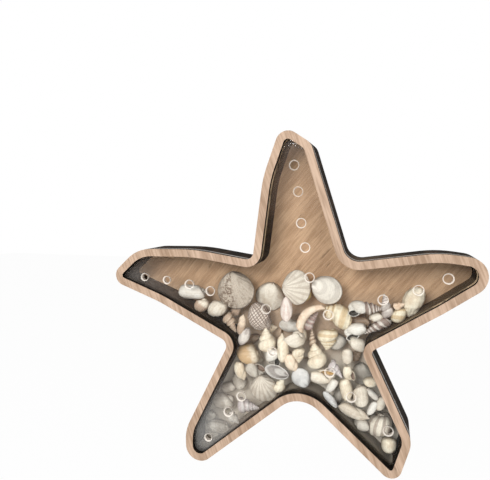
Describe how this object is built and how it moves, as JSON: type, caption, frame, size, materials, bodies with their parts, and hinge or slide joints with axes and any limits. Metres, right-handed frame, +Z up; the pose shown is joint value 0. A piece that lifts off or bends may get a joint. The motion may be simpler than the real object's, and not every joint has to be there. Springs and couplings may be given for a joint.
{
  "type": "seashell display case",
  "caption": "Star-shaped wall case with a clear perforated window, layered wooden walls, a swivelling rear hatch and loose seashells inside.",
  "frame": {"origin": "the point on the wall plane where the sawtooth hanger's middle notch rests on its hook", "axes": "+Z up, +Y into the wall, so the clear window faces -Y; +X to the viewer's right"},
  "size_m": [0.2071, 0.028, 0.1923],
  "materials": {
    "veneer_face": "pale veneer, thin satin lacquer",
    "layer_board": "cut edges scorched dark brown",
    "back_board": "mid-brown board, matt",
    "clear_sheet": "clear cast sheet, polished",
    "plated_screw": "plain brass binding screw",
    "hanger_steel": "zinc plated strip and pins",
    "bumper_rubber": "soft self-adhesive bumpers",
    "shell_cream": "natural shell, matt",
    "shell_grey": "natural weathered shell, matt",
    "shell_pink": "natural shell, matt",
    "shell_ochre": "natural shell, matt"
  },
  "bodies": {
    "case": {"front_frame": "veneer_face", "window": "clear_sheet", "spacer_ring_1": "layer_board", "spacer_ring_2": "layer_board", "spacer_ring_3": "layer_board", "spacer_ring_4": "layer_board", "spacer_ring_5": "layer_board", "back_panel": "back_board", "pivot_barrel": "plated_screw", "pivot_washer": "plated_screw", "pivot_screw": "plated_screw", "sawtooth_hanger": "hanger_steel", "hanger_nails": "hanger_steel", "wall_bumpers": "bumper_rubber", "banded_turret": "shell_ochre", "big_white_clam": "shell_cream", "bleached_barrel": "shell_cream", "blue_white_clam": "shell_grey", "cream_clam": "shell_cream", "cream_cowrie": "shell_cream", "cream_spindle": "shell_cream", "cream_whelk": "shell_cream", "curved_tusk": "shell_pink", "fan_scallop": "shell_cream", "grey_turret": "shell_grey", "hazy_snail": "shell_grey", "hazy_whorl": "shell_grey", "holed_snail": "shell_cream", "holed_white_shell": "shell_cream", "large_cream_cone": "shell_cream", "long_white_shell": "shell_cream", "lower_white_barrel": "shell_cream", "mouthed_snail": "shell_grey", "netted_whelk": "shell_ochre", "ochre_moon_shell": "shell_ochre", "ochre_tipped_shell": "shell_ochre", "open_mussel": "shell_grey", "pink_turret": "shell_pink", "pink_valve": "shell_pink", "round_moon_shell": "shell_cream", "slit_snail": "shell_cream", "small_shells_bottom": "shell_cream", "small_shells_left": "shell_cream", "small_shells_left_tip": "shell_cream", "small_shells_low_left": "shell_cream", "small_shells_low_middle": "shell_cream", "small_shells_low_right": "shell_cream", "small_shells_middle": "shell_cream", "small_shells_right": "shell_cream", "smooth_grey_shell": "shell_grey", "striped_moon_shell": "shell_grey", "striped_top_shell": "shell_grey", "weathered_cockle": "shell_grey", "wedge_cone": "shell_cream", "white_moon_shell": "shell_cream", "white_scallop": "shell_cream", "yellow_cone": "shell_ochre", "yellow_whelk": "shell_ochre"},
    "hatch": {"hatch_cover": "back_board"}
  },
  "joints": [
    {"name": "hatch_swivel", "type": "hinge", "parent": "case", "child": "hatch", "pos_m": [0.0055, -0.003, -0.04], "axis": [0, 1, 0], "range_deg": [-120, 120]}
  ]
}
